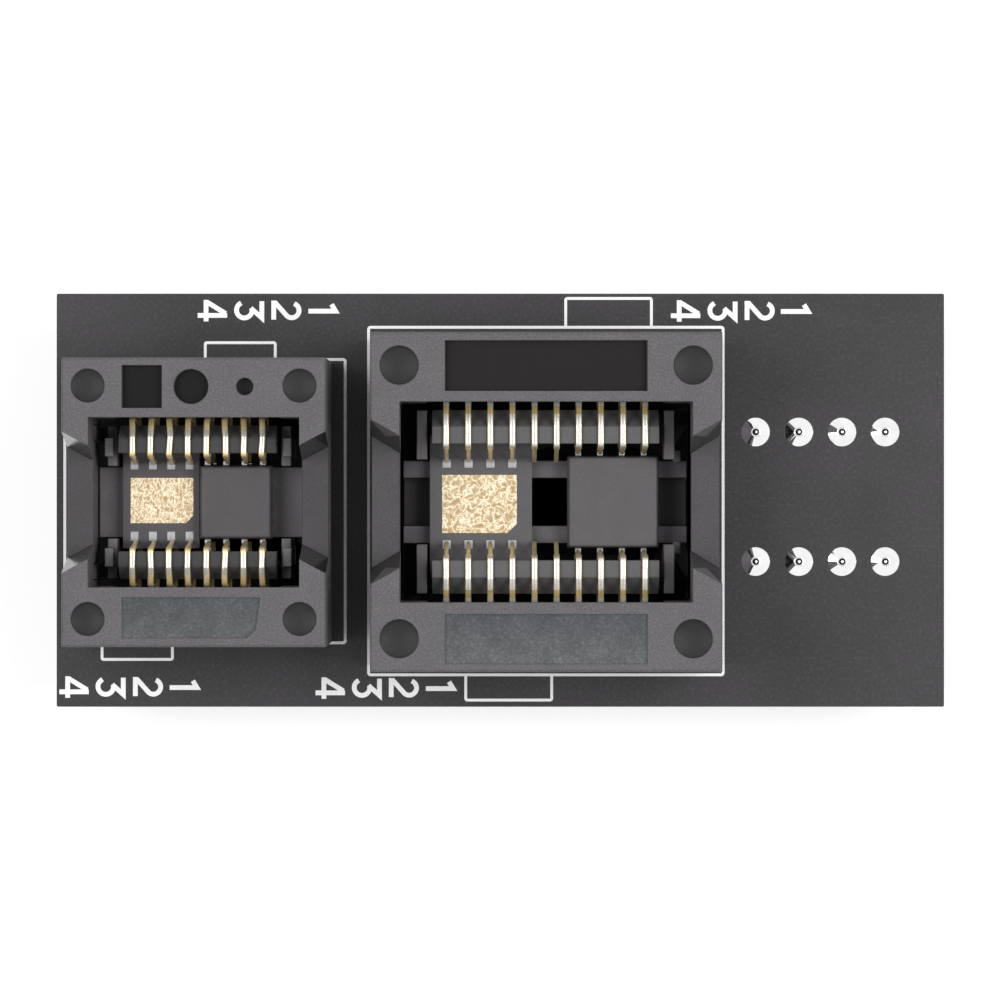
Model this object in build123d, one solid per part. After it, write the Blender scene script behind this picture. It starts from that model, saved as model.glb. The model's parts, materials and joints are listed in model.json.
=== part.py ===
from build123d import *
import math
import os
from dataclasses import dataclass

# A chip programmer adapter: a small circuit board that plugs into a DIP-8 socket
# and carries two open-top chip sockets side by side. Pressing a socket's frame
# swings its two rows of contacts away, so that a chip can be dropped in.
# Millimetres. +X runs along the board, +Y to its rear edge, +Z up from the pin tips.
# Socket heights are measured from the top of the board.

# Board
BOARD_X = 52.2
BOARD_Y = 24.3
BOARD_T = 1.6
BOARD_CORNER_R = 0.1

# Pin header under the board: two rows of round pins on the DIP-8 grid
HEADER_PITCH = 2.54
HEADER_ROW_GAP = 7.62
HEADER_PINS_PER_ROW = 4
HEADER_X = 18.82
HEADER_Y = 0.2
INSULATOR_W = 2.5
INSULATOR_H = 2.8
INSULATOR_NOTCH = 0.35
PIN_D = 0.5
PIN_BARREL_D = 0.76
PIN_TAIL_D = 0.4
PIN_BELOW = 3.2
PIN_ABOVE = 0.42
PIN_HOLE_D = 0.8
SOLDER_D = 1.7
SOLDER_H = 0.3
SOLDER_TOP_COLLAR = 0.05

# Shared by both sockets: the base
BASE_FLOOR = 0.6
BASE_WALL_TOP = 2.9
SEAT_TOP = 3.2
PEG_D = 1.2
PEG_LENGTH = 1.4
PEG_INSET = 1.6
HOOK_BOTTOM = 3.75
HOOK_NOSE_H = 0.6
HOOK_NOSE_TIP = 0.2
HOOK_POST_T = 0.35
HOOK_REACH = 0.25
HOOK_POST_TOP = 4.5

# Shared by both sockets: the push-down frame
FRAME_TOP = 10.5
FRAME_EDGE = 0.12
FRAME_PLATE = 1.0
SKIRT_INSET = 0.6
SKIRT_BOTTOM = 3.2
SKIRT_WALL = 0.75
POCKET_WALL = 0.7
POCKET_STEP_Z = 5.4
NOTCH_FLOOR = 6.5
DIMPLE_DEPTH = 0.4
DIMPLE_DISH = 0.15
LABEL_DEPTH = 0.5
TEXTURED_DEPTH = 0.15

# Shared by both sockets: the contact rows, their combs and their springs
CONTACT_T = 0.2
CONTACT_NOSE_W = 0.2
CONTACT_SHOULDER = 0.3
HEEL_R = 0.25
ELBOW_DROP = 0.25
KNEE_Z = 4.6
LEVER_END_Z = 3.0
LEVER_END_IN = 0.25
LEVER_BEND_SHARE = 0.6
LEVER_BEND_DROP = 0.25
HEEL_SIDES = 6
PIVOT_Z = 1.2
PIVOT_IN = 0.5
COMB_TOP = 7.0
COMB_SLOPE_DROP = 1.2
COMB_BOTTOM = 5.6
COMB_FRAME_GAP = 0.4
COMB_END_MARGIN = 0.82
CHEEK_T = 0.45
CHEEK_R = 0.5
TRUNNION_D = 0.7
SPRING_D = 1.4
SPRING_WIRE = 0.25
SPRING_TURNS = 3
SPRING_RUNS_PER_TURN = 6
SPRING_BORE_D = 1.6
SPRING_BORE_TOP = 6.2
FOOT_T = 0.2
FOOT_HALF = 0.4
TAIL_INNER_OFFSET = 1.5
TAIL_T = 0.25
TAIL_BELOW_BOARD = 1.2
TAIL_HOLE_D = 0.7
TAIL_SOLDER_D = 1.1
TAIL_SOLDER_TIP_D = 0.55
TAIL_SOLDER_H = 0.6

# Shared by both sockets: the chips
LEADLESS_T = 0.75
PAD_RAISE = 0.02
PAD_T = 0.2
LEADED_T = 1.8
LEADED_DRAFT = 7
LEADED_EDGE = 0.09
LEADED_EDGE_LEAN = 45
LEAD_T = 0.2
LEAD_W = 0.34
LEAD_SHOULDER = 0.18
LEAD_STANDOFF = 0.1
LEAD_FOOT = 0.5

# Clearances
SLIDE_GAP = 0.08
STOP_GAP = 0.1
SKIRT_GAP = 0.12
COMB_SKIN_GAP = 0.02
TIP_GAP = 0.03
TRUNNION_GAP = 0.03
PEG_GAP = 0.05
TAIL_GAP = 0.05
HOOK_GAP = 0.05
SPRING_END_GAP = 0.02

# Small round forms that are hidden or covered are drawn with flats, to stay light
ROUND_SIDES = 12
SMALL_ROUND_SIDES = 6

# How far a cut runs past the face that it opens
OVERCUT = 1.0

# Large socket
LARGE_X = 2.6
LARGE_Y = -0.1
LARGE_FRAME_X = 20.0
LARGE_FRAME_Y = 19.3
LARGE_WINDOW_X = 16.64
LARGE_WINDOW_Y = 11.4
LARGE_TRAVEL = 2.0
LARGE_CONTACTS = 10
LARGE_PITCH = 1.27
LARGE_CONTACT_W = 0.34
LARGE_ELBOW_OUT = 0.6
LARGE_COMB_RIDGE_IN = 0.97
LARGE_COMB_TOP_W = 0.98
LARGE_PADS_TIP_Y = 2.35
LARGE_LEADS_TIP_Y = 2.84
LARGE_RAIL_OUTER = 2.4
LARGE_RAIL_INNER = 1.4
LARGE_SIDE_FLOOR_X = 6.0
LARGE_SIDE_FLOOR_TOP = 2.0
LARGE_RIB_GAP = 0.29
LARGE_RIB_T = 0.59
LARGE_RIB_INNER_Y = 2.45
LARGE_RIB_OUTER_Y = 5.27
LARGE_RIB_TOP = 6.3
LARGE_LEDGE_OUT = 0.4
LARGE_LEDGE_INNER_Y = 2.3
LARGE_LEDGE_OUTER_Y = 3.0
LARGE_LEDGE_TOP = 5.2
LARGE_HOOK_Y = 5.0
LARGE_HOOK_W = 1.2
LARGE_NOTCH_TOP_OUTER = 4.7
LARGE_NOTCH_TOP_INNER = 3.75
LARGE_NOTCH_FLOOR_OUTER = 3.8
LARGE_NOTCH_FLOOR_INNER = 2.8
LARGE_DIMPLE_X = 8.34
LARGE_DIMPLE_Y = 7.76
LARGE_DIMPLE_R = 1.11
LARGE_SPRING_IN_X = 2.0
LARGE_SPRING_IN_Y = 2.3
LARGE_LEADLESS_X = -3.73
LARGE_LEADLESS_Y = -0.12
LARGE_LEADLESS_W = 5.93
LARGE_LEADLESS_L = 8.0
LARGE_PAD_W = 0.49
LARGE_PAD_INNER_Y = 2.1
LARGE_PAD_OUTER_Y = 2.6
LARGE_CHIP_SHIFT = 0.0
LARGE_THERMAL_W = 4.35
LARGE_THERMAL_L = 3.4
LARGE_THERMAL_CUT = 0.55
LARGE_LEADED_X = 3.92
LARGE_LEADED_W = 5.3
LARGE_LEADED_L = 5.37
LARGE_LEAD_SPAN = 7.9
LARGE_LABEL_X = 5.75
LARGE_LABEL_INNER_Y = 6.3
LARGE_LABEL_OUTER_Y = 9.17
LARGE_TEXTURED_INNER_Y = 6.37
LARGE_TEXTURED_OUTER_Y = 9.19

# Small socket
SMALL_X = -17.4
SMALL_Y = -0.12
SMALL_FRAME_X = 15.02
SMALL_FRAME_Y = 16.43
SMALL_WINDOW_X = 11.98
SMALL_WINDOW_Y = 9.65
SMALL_TRAVEL = 1.7
SMALL_CONTACTS = 8
SMALL_PITCH = 1.065
SMALL_CONTACT_W = 0.33
SMALL_ELBOW_OUT = 0.35
SMALL_COMB_RIDGE_IN = 0.75
SMALL_COMB_TOP_W = 0.85
SMALL_PADS_TIP_Y = 2.25
SMALL_LEADS_TIP_Y = 2.3
SMALL_RAIL_OUTER = 2.04
SMALL_RAIL_INNER = 0.0
SMALL_RIB_GAP = 0.2
SMALL_RIB_T = 0.55
SMALL_RIB_INNER_Y = 2.1
SMALL_RIB_OUTER_Y = 4.4
SMALL_RIB_TOP = 5.0
SMALL_HOOK_Y = 4.0
SMALL_HOOK_W = 0.9
SMALL_NOTCH_TOP_OUTER = 4.03
SMALL_NOTCH_TOP_INNER = 3.22
SMALL_NOTCH_FLOOR_OUTER = 3.2
SMALL_NOTCH_FLOOR_INNER = 2.42
SMALL_DIMPLE_X = 6.01
SMALL_DIMPLE_Y = 6.62
SMALL_DIMPLE_R = 0.96
SMALL_SPRING_IN_X = 1.8
SMALL_SPRING_IN_Y = 2.0
SMALL_LEADLESS_X = -2.28
SMALL_LEADLESS_Y = 0.1
SMALL_LEADLESS_W = 4.45
SMALL_LEADLESS_L = 5.56
SMALL_PAD_W = 0.46
SMALL_PAD_INNER_Y = 1.8
SMALL_PAD_OUTER_Y = 2.35
SMALL_CHIP_SHIFT = -0.1
SMALL_THERMAL_W = 3.66
SMALL_THERMAL_L = 2.65
SMALL_THERMAL_CUT = 0.45
SMALL_LEADED_X = 2.09
SMALL_LEADED_W = 4.2
SMALL_LEADED_L = 4.3
SMALL_LEAD_SPAN = 6.1
SMALL_SQUARE_X = -2.94
SMALL_SQUARE_Y = 6.57
SMALL_SQUARE_W = 2.28
SMALL_SQUARE_L = 2.43
SMALL_DISC_X = -0.15
SMALL_DISC_R = 0.99
SMALL_DOT_X = 2.9
SMALL_DOT_R = 0.49
SMALL_TEXTURED_LEFT_X = -4.07
SMALL_TEXTURED_RIGHT_X = 3.78
SMALL_TEXTURED_INNER_Y = 5.4
SMALL_TEXTURED_OUTER_Y = 7.7
SMALL_TEXTURED_CUT = 0.5
SMALL_TEXTURED_LEAN = 0.25
SMALL_POST_OUT = 0.12
SMALL_POST_T = 0.5
SMALL_POST_INNER_Y = 2.64
SMALL_POST_OUTER_Y = 3.7
SMALL_POST_TOP = 6.3

BOARD_BOTTOM = PIN_BELOW + INSULATOR_H
BOARD_TOP = BOARD_BOTTOM + BOARD_T


@dataclass(frozen=True)
class Socket:
    """The sizes in which the two sockets differ, and the places that follow from them."""

    name: str
    x: float
    y: float
    frame_x: float
    frame_y: float
    window_x: float
    window_y: float
    travel: float
    contacts: int
    pitch: float
    contact_w: float
    elbow_out: float
    comb_ridge_in: float
    comb_top_w: float
    pads_tip_y: float
    leads_tip_y: float
    rail_outer: float
    rail_inner: float
    rib_gap: float
    rib_t: float
    rib_inner_y: float
    rib_outer_y: float
    rib_top: float
    hook_y: float
    hook_w: float
    notch_top: tuple
    notch_floor: tuple
    dimple_x: float
    dimple_y: float
    dimple_r: float
    spring_in_x: float
    spring_in_y: float
    leadless_x: float
    leadless_y: float
    leadless_w: float
    leadless_l: float
    pad_w: float
    pad_inner_y: float
    pad_outer_y: float
    chip_shift: float
    thermal_w: float
    thermal_l: float
    thermal_cut: float
    leaded_x: float
    leaded_w: float
    leaded_l: float
    lead_span: float

    @property
    def contact_xs(self):
        middle = (self.contacts - 1) / 2
        return [(i - middle) * self.pitch for i in range(self.contacts)]

    @property
    def pad_xs(self):
        return [x + self.chip_shift for x in self.contact_xs[:4]]

    @property
    def lead_xs(self):
        return [x + self.chip_shift for x in self.contact_xs[-4:]]

    @property
    def comb_outer_y(self):
        return self.window_y / 2 - COMB_FRAME_GAP

    @property
    def ridge_y(self):
        return self.comb_outer_y - self.comb_ridge_in

    @property
    def comb_inner_y(self):
        return self.ridge_y - self.comb_top_w

    @property
    def comb_half(self):
        return self.contact_xs[-1] + COMB_END_MARGIN

    @property
    def pivot_y(self):
        return self.comb_outer_y - PIVOT_IN

    @property
    def rib_inner_x(self):
        return self.comb_half + self.rib_gap

    @property
    def rib_outer_x(self):
        return self.rib_inner_x + self.rib_t

    @property
    def skirt_y(self):
        return self.frame_y / 2 - SKIRT_INSET

    @property
    def cam_y(self):
        return self.skirt_y - SKIRT_WALL

    @property
    def lever_end_y(self):
        return self.cam_y + LEVER_END_IN

    @property
    def shoulder_z(self):
        return BASE_WALL_TOP + self.travel + STOP_GAP

    @property
    def spring_spots(self):
        x = self.frame_x / 2 - self.spring_in_x
        y = self.frame_y / 2 - self.spring_in_y
        return [(i * x, j * y) for i in (-1, 1) for j in (-1, 1)]

    @property
    def peg_spots(self):
        x = self.frame_x / 2 - PEG_INSET
        return [(-x, 0), (x, 0)]

    @property
    def tail_spots(self):
        """Where each contact's tail leaves the base: staggered, so the board keeps its pads apart."""
        inner = self.pivot_y - TAIL_INNER_OFFSET
        return [(x, self.pivot_y if i % 2 else inner) for i, x in enumerate(self.contact_xs)]


LARGE = Socket(
    name="large", x=LARGE_X, y=LARGE_Y, frame_x=LARGE_FRAME_X, frame_y=LARGE_FRAME_Y,
    window_x=LARGE_WINDOW_X, window_y=LARGE_WINDOW_Y, travel=LARGE_TRAVEL,
    contacts=LARGE_CONTACTS, pitch=LARGE_PITCH, contact_w=LARGE_CONTACT_W,
    elbow_out=LARGE_ELBOW_OUT,
    comb_ridge_in=LARGE_COMB_RIDGE_IN, comb_top_w=LARGE_COMB_TOP_W,
    pads_tip_y=LARGE_PADS_TIP_Y, leads_tip_y=LARGE_LEADS_TIP_Y,
    rail_outer=LARGE_RAIL_OUTER, rail_inner=LARGE_RAIL_INNER,
    rib_gap=LARGE_RIB_GAP, rib_t=LARGE_RIB_T, rib_inner_y=LARGE_RIB_INNER_Y,
    rib_outer_y=LARGE_RIB_OUTER_Y, rib_top=LARGE_RIB_TOP,
    hook_y=LARGE_HOOK_Y, hook_w=LARGE_HOOK_W,
    notch_top=(LARGE_NOTCH_TOP_OUTER, LARGE_NOTCH_TOP_INNER),
    notch_floor=(LARGE_NOTCH_FLOOR_OUTER, LARGE_NOTCH_FLOOR_INNER),
    dimple_x=LARGE_DIMPLE_X, dimple_y=LARGE_DIMPLE_Y, dimple_r=LARGE_DIMPLE_R,
    spring_in_x=LARGE_SPRING_IN_X, spring_in_y=LARGE_SPRING_IN_Y,
    leadless_x=LARGE_LEADLESS_X, leadless_y=LARGE_LEADLESS_Y,
    leadless_w=LARGE_LEADLESS_W, leadless_l=LARGE_LEADLESS_L,
    pad_w=LARGE_PAD_W, pad_inner_y=LARGE_PAD_INNER_Y,
    pad_outer_y=LARGE_PAD_OUTER_Y, chip_shift=LARGE_CHIP_SHIFT,
    thermal_w=LARGE_THERMAL_W, thermal_l=LARGE_THERMAL_L, thermal_cut=LARGE_THERMAL_CUT,
    leaded_x=LARGE_LEADED_X, leaded_w=LARGE_LEADED_W, leaded_l=LARGE_LEADED_L,
    lead_span=LARGE_LEAD_SPAN,
)

SMALL = Socket(
    name="small", x=SMALL_X, y=SMALL_Y, frame_x=SMALL_FRAME_X, frame_y=SMALL_FRAME_Y,
    window_x=SMALL_WINDOW_X, window_y=SMALL_WINDOW_Y, travel=SMALL_TRAVEL,
    contacts=SMALL_CONTACTS, pitch=SMALL_PITCH, contact_w=SMALL_CONTACT_W,
    elbow_out=SMALL_ELBOW_OUT,
    comb_ridge_in=SMALL_COMB_RIDGE_IN, comb_top_w=SMALL_COMB_TOP_W,
    pads_tip_y=SMALL_PADS_TIP_Y, leads_tip_y=SMALL_LEADS_TIP_Y,
    rail_outer=SMALL_RAIL_OUTER, rail_inner=SMALL_RAIL_INNER,
    rib_gap=SMALL_RIB_GAP, rib_t=SMALL_RIB_T, rib_inner_y=SMALL_RIB_INNER_Y,
    rib_outer_y=SMALL_RIB_OUTER_Y, rib_top=SMALL_RIB_TOP,
    hook_y=SMALL_HOOK_Y, hook_w=SMALL_HOOK_W,
    notch_top=(SMALL_NOTCH_TOP_OUTER, SMALL_NOTCH_TOP_INNER),
    notch_floor=(SMALL_NOTCH_FLOOR_OUTER, SMALL_NOTCH_FLOOR_INNER),
    dimple_x=SMALL_DIMPLE_X, dimple_y=SMALL_DIMPLE_Y, dimple_r=SMALL_DIMPLE_R,
    spring_in_x=SMALL_SPRING_IN_X, spring_in_y=SMALL_SPRING_IN_Y,
    leadless_x=SMALL_LEADLESS_X, leadless_y=SMALL_LEADLESS_Y,
    leadless_w=SMALL_LEADLESS_W, leadless_l=SMALL_LEADLESS_L,
    pad_w=SMALL_PAD_W, pad_inner_y=SMALL_PAD_INNER_Y,
    pad_outer_y=SMALL_PAD_OUTER_Y, chip_shift=SMALL_CHIP_SHIFT,
    thermal_w=SMALL_THERMAL_W, thermal_l=SMALL_THERMAL_L, thermal_cut=SMALL_THERMAL_CUT,
    leaded_x=SMALL_LEADED_X, leaded_w=SMALL_LEADED_W, leaded_l=SMALL_LEADED_L,
    lead_span=SMALL_LEAD_SPAN,
)


def polygon(*points):
    return make_face(Polyline(*points, close=True))


def along_x(face, x0, x1):
    """A profile drawn as (Y, Z), run from x0 to x1."""
    return extrude(Plane.YZ.offset(x0) * face, x1 - x0)


def along_y(face, y0, y1):
    """A profile drawn as (X, Z), run from y0 to y1."""
    return extrude(Plane.XZ.offset(-y1) * face, y1 - y0)


def upright(sketch, z0, z1):
    """A sketch drawn in plan, run from z0 up to z1."""
    return extrude(Plane.XY.offset(z0) * sketch, z1 - z0)


def span(x0, x1, y0, y1):
    """A rectangle in plan between two corners."""
    return Pos((x0 + x1) / 2, (y0 + y1) / 2) * Rectangle(x1 - x0, y1 - y0)


def strip(points, width):
    """A bent strip of sheet seen edge on: its centre line, given a thickness with mitred bends."""
    runs = [(Vector(*b) - Vector(*a)).normalized() for a, b in zip(points, points[1:])]
    mitres = []
    for before, after in zip(runs[:1] + runs, runs + runs[-1:]):
        across = (before + after).normalized().rotate(Axis.Z, 90)
        mitres.append(across * (width / 2 / math.cos(before.get_angle(after) / 2 * math.pi / 180)))
    left = [Vector(*p) + m for p, m in zip(points, mitres)]
    right = [Vector(*p) - m for p, m in zip(points, mitres)]
    return polygon(*left, *reversed(right))


def few_sided(diameter, sides):
    """A small round seen in plan, drawn with flats inside the true circle."""
    return RegularPolygon(diameter / 2, sides)


def few_sided_bore(diameter, sides):
    """A small round hole drawn with flats outside the true circle, so that a round pin clears it."""
    return RegularPolygon(diameter / 2, sides, major_radius=False)


def four_ways(shape):
    """The shape and its mirror images across the socket's two middle planes."""
    pair = [shape, mirror(shape, about=Plane.XZ)]
    return pair + [mirror(one, about=Plane.YZ) for one in pair]


def circuit_board():
    outline = RectangleRounded(BOARD_X, BOARD_Y, BOARD_CORNER_R)
    pin_hole = few_sided_bore(PIN_HOLE_D, SMALL_ROUND_SIDES)
    peg_hole = few_sided_bore(PEG_D + 2 * PEG_GAP, ROUND_SIDES)
    tail_hole = few_sided(TAIL_HOLE_D, SMALL_ROUND_SIDES)
    holes = [Pos(x, y) * pin_hole for x, y in header_spots(1) + header_spots(-1)]
    for s in (LARGE, SMALL):
        here = Pos(s.x, s.y)
        holes += [here * Pos(x, y) * peg_hole for x, y in s.peg_spots]
        for side in (1, -1):
            holes += [here * Pos(x, side * y) * tail_hole for x, y in s.tail_spots]
    return upright(outline - holes, BOARD_BOTTOM, BOARD_TOP)


def header_spots(side):
    middle = (HEADER_PINS_PER_ROW - 1) / 2
    y = HEADER_Y + side * HEADER_ROW_GAP / 2
    return [(HEADER_X + (i - middle) * HEADER_PITCH, y) for i in range(HEADER_PINS_PER_ROW)]


def header_insulator(side):
    """A strip of four cells; the cut corners of each leave the notches where strips are snapped."""
    cell = Rectangle(HEADER_PITCH, INSULATOR_W)
    cell = chamfer(cell.vertices(), INSULATOR_NOTCH)
    strip_plan = [Pos(x, y) * cell for x, y in header_spots(side)]
    bores = [Pos(x, y) * few_sided(PIN_BARREL_D, ROUND_SIDES) for x, y in header_spots(side)]
    return upright(Sketch() + strip_plan - bores, PIN_BELOW, BOARD_BOTTOM)


def header_pins(side):
    """Turned pins: a round pin below, a barrel in the insulator, and a tail up through the board."""
    pin = upright(Circle(PIN_D / 2), 0, PIN_BELOW)
    pin += upright(few_sided(PIN_BARREL_D, ROUND_SIDES), PIN_BELOW, BOARD_BOTTOM)
    pin += upright(few_sided(PIN_TAIL_D, ROUND_SIDES), BOARD_BOTTOM, BOARD_TOP + PIN_ABOVE)
    return [Pos(x, y, 0) * pin for x, y in header_spots(side)]


def header_solder(side):
    """A cone of solder round each pin's tail."""
    tip_r = PIN_TAIL_D / 2 + SOLDER_TOP_COLLAR
    lean = math.degrees(math.atan2(SOLDER_D / 2 - tip_r, SOLDER_H))
    cone = extrude(few_sided(SOLDER_D, ROUND_SIDES), SOLDER_H, taper=lean)
    cone -= upright(few_sided(PIN_TAIL_D, ROUND_SIDES), 0, SOLDER_H)
    return [Pos(x, y, BOARD_TOP) * cone for x, y in header_spots(side)]


def seat_profile(s):
    """Half of the chip seat in section: a rail, or a solid platform where there is no well."""
    return span(s.rail_inner, s.rail_outer, BASE_FLOOR, SEAT_TOP)


def base(s):
    outline = Rectangle(s.frame_x, s.frame_y)
    inside = Rectangle(
        s.frame_x - 2 * SKIRT_INSET + 2 * SKIRT_GAP, s.frame_y - 2 * SKIRT_INSET + 2 * SKIRT_GAP
    )
    tails = [
        Pos(x, side * y) * Rectangle(s.contact_w + 2 * TAIL_GAP, TAIL_T + 2 * TAIL_GAP)
        for x, y in s.tail_spots
        for side in (1, -1)
    ]
    body = upright(outline - tails, 0, BASE_FLOOR) + upright(outline - inside, BASE_FLOOR, BASE_WALL_TOP)

    reach = s.window_x / 2 - SLIDE_GAP
    seat = along_x(seat_profile(s), -reach, reach)
    body += [seat, mirror(seat, about=Plane.XZ)]
    body += [part for rib in hinge_ribs(s) for part in four_ways(rib)]
    body += four_ways(hook_post(s))
    if s is LARGE:
        body += right_ledges(s) + side_floors(s, reach)
    peg = upright(few_sided(PEG_D, ROUND_SIDES), -PEG_LENGTH, 0)
    return body + [Pos(x, y, 0) * peg for x, y in s.peg_spots]


def hinge_ribs(s):
    """One of the four upright ribs that carry the trunnions of the combs."""
    bore = Pos(s.pivot_y, PIVOT_Z) * few_sided_bore(TRUNNION_D + 2 * TRUNNION_GAP, ROUND_SIDES)
    face = span(s.rib_inner_y, s.rib_outer_y, BASE_FLOOR, s.rib_top) - bore
    ribs = [along_x(face, s.rib_inner_x, s.rib_outer_x)]
    if s is SMALL:
        post = span(SMALL_POST_INNER_Y, SMALL_POST_OUTER_Y, BASE_FLOOR, SMALL_POST_TOP)
        x0 = s.rib_inner_x + SMALL_POST_OUT
        ribs.append(along_x(post - bore, x0, x0 + SMALL_POST_T))
    return ribs


def right_ledges(s):
    """A low ledge beside each right-hand rib."""
    face = span(LARGE_LEDGE_INNER_Y, LARGE_LEDGE_OUTER_Y, BASE_FLOOR, LARGE_LEDGE_TOP)
    ledge = along_x(face, s.rib_outer_x, s.rib_outer_x + LARGE_LEDGE_OUT)
    return [ledge, mirror(ledge, about=Plane.XZ)]


def side_floors(s, reach):
    """The raised floor of the well at its two ends, beside the chips."""
    right = span(LARGE_SIDE_FLOOR_X, reach, -s.rail_inner, s.rail_inner)
    right = upright(right, BASE_FLOOR, LARGE_SIDE_FLOOR_TOP)
    return [right, mirror(right, about=Plane.YZ)]


def hook_post(s):
    """A post in the frame's side wall, with the nose that stops the frame from lifting off."""
    back_x = s.window_x / 2
    face_x = back_x + HOOK_POST_T
    nose_x = face_x + HOOK_REACH
    nose_top = HOOK_BOTTOM + HOOK_NOSE_H
    profile = polygon(
        (back_x, BASE_FLOOR), (face_x, BASE_FLOOR), (face_x, HOOK_BOTTOM),
        (nose_x, HOOK_BOTTOM), (nose_x, HOOK_BOTTOM + HOOK_NOSE_TIP), (face_x, nose_top),
        (face_x, HOOK_POST_TOP), (back_x, HOOK_POST_TOP),
    )
    return along_y(profile, s.hook_y - s.hook_w / 2, s.hook_y + s.hook_w / 2)


def frame(s):
    upper = upright(Rectangle(s.frame_x, s.frame_y), s.shoulder_z, FRAME_TOP)
    upper = chamfer(upper.faces().sort_by(Axis.Z)[-1].outer_wire().edges(), FRAME_EDGE)
    skirt = Rectangle(s.frame_x - 2 * SKIRT_INSET, s.frame_y - 2 * SKIRT_INSET)
    body = upper + upright(skirt, SKIRT_BOTTOM, s.shoulder_z)
    body -= upright(Rectangle(s.window_x, s.window_y), 0, FRAME_TOP)
    pocket = row_pocket(s)
    body -= [pocket, mirror(pocket, about=Plane.XZ)]
    right_notch = notch(s)
    body -= [right_notch, mirror(right_notch, about=Plane.YZ)]
    body -= four_ways(hook_slot(s))
    spring_bore = upright(few_sided_bore(SPRING_BORE_D, ROUND_SIDES), 0, SPRING_BORE_TOP)
    body -= [Pos(x, y, 0) * spring_bore for x, y in s.spring_spots]
    body -= four_ways(Pos(s.dimple_x, s.dimple_y, 0) * dimple(s.dimple_r))
    body -= large_marks() if s is LARGE else small_marks()
    return body


def row_pocket(s):
    """The hollow under the rear edge of the frame, into which the open contact row swings."""
    half = s.comb_half + (s.rib_gap + COMB_SKIN_GAP)
    ceiling = FRAME_TOP - FRAME_PLATE
    inside = s.window_y / 2 - OVERCUT
    face = polygon(
        (inside, 0), (s.cam_y, 0), (s.cam_y, POCKET_STEP_Z),
        (s.frame_y / 2 - POCKET_WALL, POCKET_STEP_Z), (s.frame_y / 2 - POCKET_WALL, ceiling),
        (inside, ceiling),
    )
    return along_x(face, -half, half)


def notch(s):
    """The finger notch in the right side of the frame: wider at the top and at the outside."""
    inner = s.window_x / 2
    outer = s.frame_x / 2
    rise = (FRAME_TOP + OVERCUT - NOTCH_FLOOR) / (FRAME_TOP - NOTCH_FLOOR)

    def outline(outer_half, inner_half):
        lean = (outer_half - inner_half) / (outer - inner) * OVERCUT
        x0, x1 = inner - OVERCUT, outer + OVERCUT
        y0, y1 = inner_half - lean, outer_half + lean
        return polygon((x0, -y0), (x1, -y1), (x1, y1), (x0, y0))

    low = outline(*s.notch_floor)
    high = outline(*(f + (t - f) * rise for t, f in zip(s.notch_top, s.notch_floor)))
    return loft([Plane.XY.offset(NOTCH_FLOOR) * low, Plane.XY.offset(FRAME_TOP + OVERCUT) * high], ruled=True)


def hook_slot(s):
    """The slot in the frame's side wall for a hook post, wider where the nose runs above its ledge."""
    half = s.hook_w / 2 + HOOK_GAP
    y0, y1 = s.hook_y - half, s.hook_y + half
    face_x = s.window_x / 2 + HOOK_POST_T + SLIDE_GAP
    top = HOOK_POST_TOP + s.travel + HOOK_GAP
    post_way = upright(span(s.window_x / 2 - SLIDE_GAP, face_x, y0, y1), 0, top)
    nose_way = upright(span(face_x, face_x + HOOK_REACH, y0, y1), HOOK_BOTTOM - HOOK_GAP, top)
    return post_way + nose_way


def dimple(r):
    half = polygon(
        (0, FRAME_TOP - DIMPLE_DEPTH - DIMPLE_DISH), (r, FRAME_TOP - DIMPLE_DEPTH),
        (r, FRAME_TOP + OVERCUT), (0, FRAME_TOP + OVERCUT),
    )
    return revolve(Plane.XZ * half, Axis.Z)


def large_marks():
    """The bare label recess at the rear and the shallow textured one at the front."""
    label = span(-LARGE_LABEL_X, LARGE_LABEL_X, LARGE_LABEL_INNER_Y, LARGE_LABEL_OUTER_Y)
    textured = span(-LARGE_LABEL_X, LARGE_LABEL_X, -LARGE_TEXTURED_OUTER_Y, -LARGE_TEXTURED_INNER_Y)
    return [
        upright(label, FRAME_TOP - LABEL_DEPTH, FRAME_TOP + OVERCUT),
        upright(textured, FRAME_TOP - TEXTURED_DEPTH, FRAME_TOP + OVERCUT),
    ]


def small_marks():
    """Three bare recesses at the rear and the shallow textured one at the front."""
    square = Pos(SMALL_SQUARE_X, SMALL_SQUARE_Y) * Rectangle(SMALL_SQUARE_W, SMALL_SQUARE_L)
    disc = Pos(SMALL_DISC_X, SMALL_SQUARE_Y) * Circle(SMALL_DISC_R)
    dot = Pos(SMALL_DOT_X, SMALL_SQUARE_Y) * Circle(SMALL_DOT_R)
    lower_right = SMALL_TEXTURED_RIGHT_X - SMALL_TEXTURED_LEAN
    textured = polygon(
        (SMALL_TEXTURED_LEFT_X, -SMALL_TEXTURED_INNER_Y),
        (SMALL_TEXTURED_LEFT_X, -SMALL_TEXTURED_OUTER_Y),
        (lower_right - SMALL_TEXTURED_CUT, -SMALL_TEXTURED_OUTER_Y),
        (lower_right, -SMALL_TEXTURED_OUTER_Y + SMALL_TEXTURED_CUT),
        (SMALL_TEXTURED_RIGHT_X, -SMALL_TEXTURED_INNER_Y),
    )
    marks = [upright(mark, FRAME_TOP - LABEL_DEPTH, FRAME_TOP + OVERCUT) for mark in (square, disc, dot)]
    return marks + [upright(textured, FRAME_TOP - TEXTURED_DEPTH, FRAME_TOP + OVERCUT)]


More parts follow.
